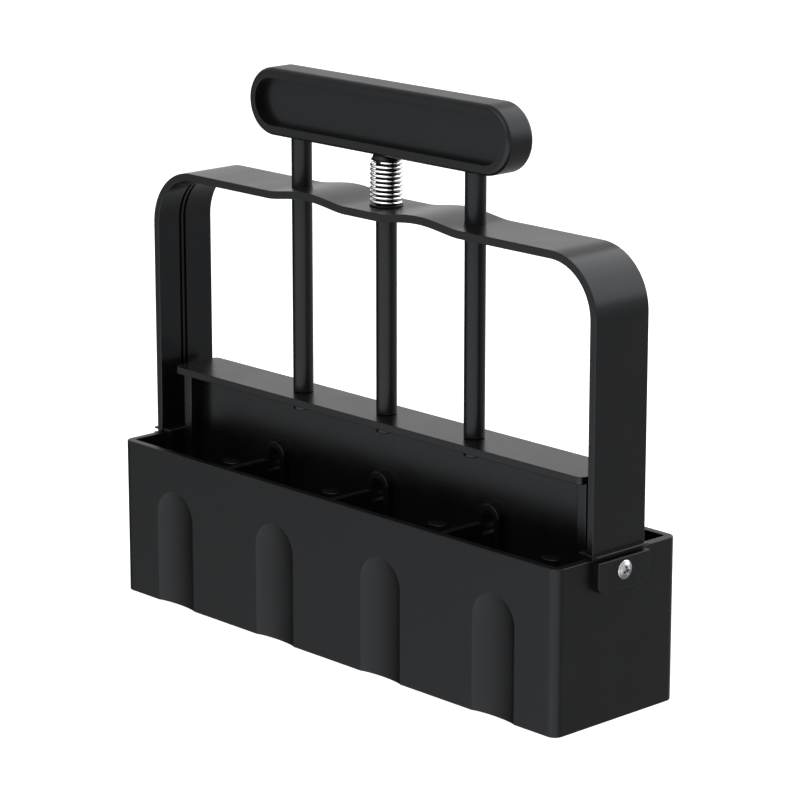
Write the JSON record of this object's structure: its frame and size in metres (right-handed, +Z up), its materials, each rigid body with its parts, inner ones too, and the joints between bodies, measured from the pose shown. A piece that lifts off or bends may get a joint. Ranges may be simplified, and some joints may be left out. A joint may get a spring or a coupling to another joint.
{
  "type": "soil blocker",
  "caption": "Hand soil blocker: a long box of square cells with a bow frame, a sprung plunger with a bar handle, rods, press beam, press plates and seed pins.",
  "frame": {"origin": "middle of the cutting edge that the box stands on", "axes": "+X along the row of cells, -Y towards the fluted front and the recess in the handle, +Z up"},
  "size_m": [0.2266, 0.0568, 0.1965],
  "materials": {
    "box_plastic": "satin moulded black",
    "frame_plastic": "satin moulded black",
    "handle_plastic": "satin moulded black",
    "beam_plastic": "satin moulded black",
    "plate_plastic": "satin moulded black",
    "seat_plastic": "matt black",
    "rod_black": "satin black coat on steel rod",
    "spring_steel": "bright spring wire",
    "screw_steel": "bright plated screw"
  },
  "bodies": {
    "mould": {"mould_box": "box_plastic", "frame": "frame_plastic", "foot_screw_left": "screw_steel", "foot_screw_right": "screw_steel", "spring_washer": "seat_plastic", "spring": "spring_steel"},
    "plunger": {"handle": "handle_plastic", "rod_left": "rod_black", "rod_centre": "rod_black", "rod_right": "rod_black", "spring_collar": "seat_plastic", "press_beam": "beam_plastic", "press_plate_1": "plate_plastic", "press_plate_2": "plate_plastic", "press_plate_3": "plate_plastic", "press_plate_4": "plate_plastic", "seed_pin_1": "plate_plastic", "seed_pin_2": "plate_plastic", "seed_pin_3": "plate_plastic", "seed_pin_4": "plate_plastic"}
  },
  "joints": [
    {"name": "plunger_press", "type": "slide", "parent": "mould", "child": "plunger", "axis": [0, 0, 1], "range_m": [-0.0048, 0], "stiffness_N_per_m": 1030, "springref_m": 0.006, "deforming": ["spring"]}
  ]
}
